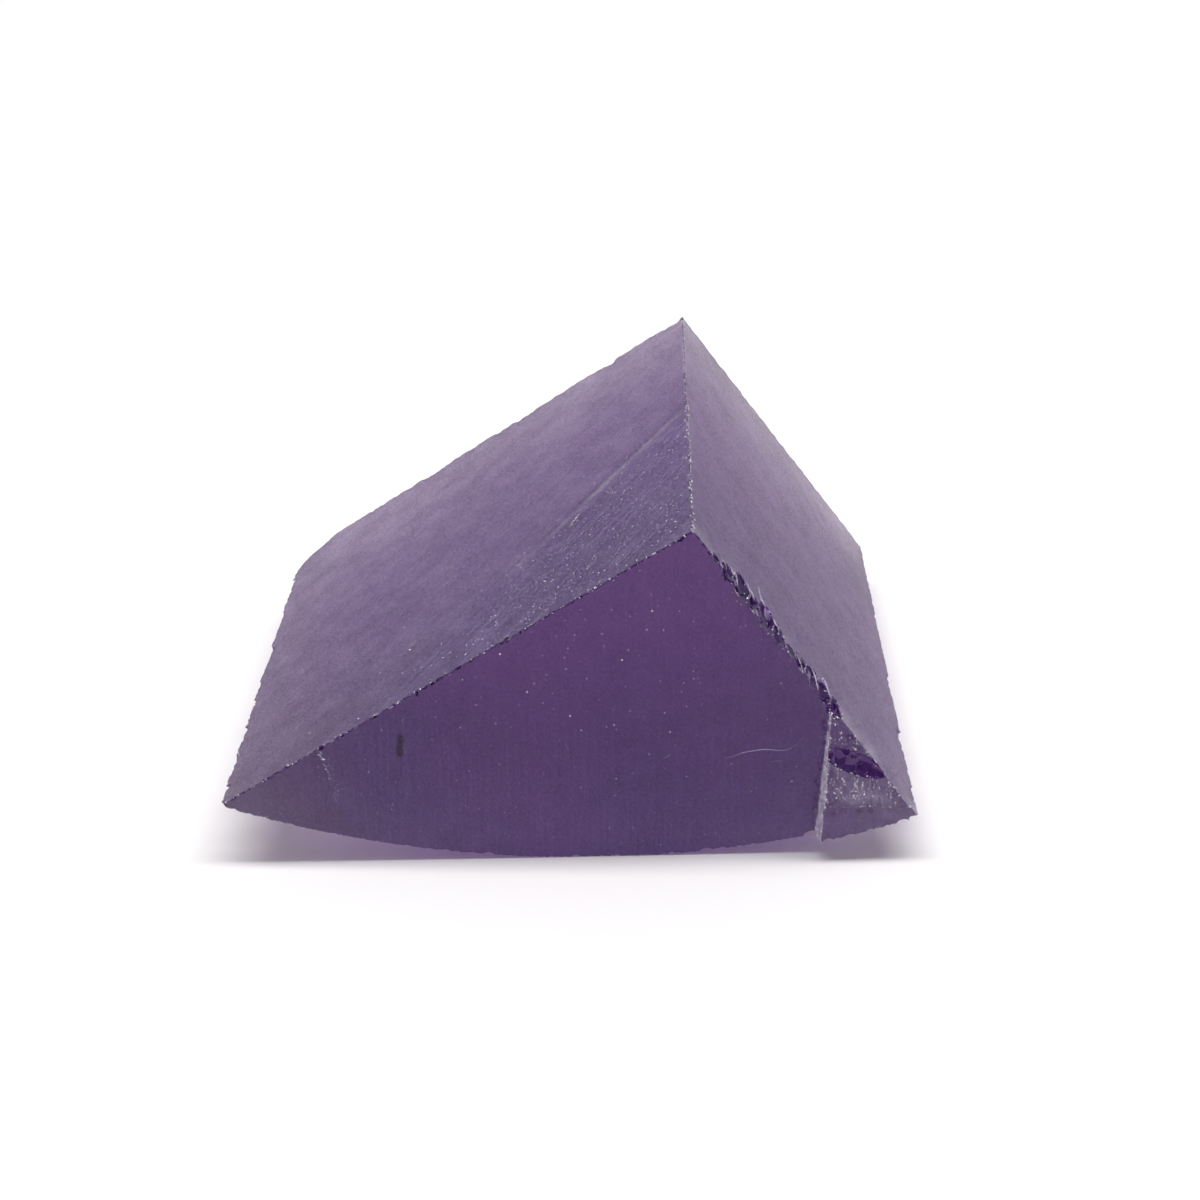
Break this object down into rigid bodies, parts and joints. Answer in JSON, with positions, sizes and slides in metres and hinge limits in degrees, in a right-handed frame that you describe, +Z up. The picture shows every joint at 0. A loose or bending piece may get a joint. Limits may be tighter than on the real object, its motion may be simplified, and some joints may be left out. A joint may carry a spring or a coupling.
{
  "type": "color-change sapphire rough",
  "caption": "Wedge of purple sapphire rough: two sawn slopes meeting in a ridge, upright sawn ends, a broken corner tab and a round boule skin that it rests on.",
  "frame": {"origin": "under the middle of the stone's box, on the surface that it lies on", "axes": "+X to the right across the sawn front face, +Y along the ridge towards the back, +Z up; the sawn front face looks along -Y"},
  "size_m": [0.0304, 0.0274, 0.0156],
  "materials": {
    "sapphire": "see-through purple crystal with frosted sawn faces, glassy broken flakes and a matte as-grown skin"
  },
  "bodies": {
    "root": {"sapphire": "sapphire"}
  },
  "joints": []
}
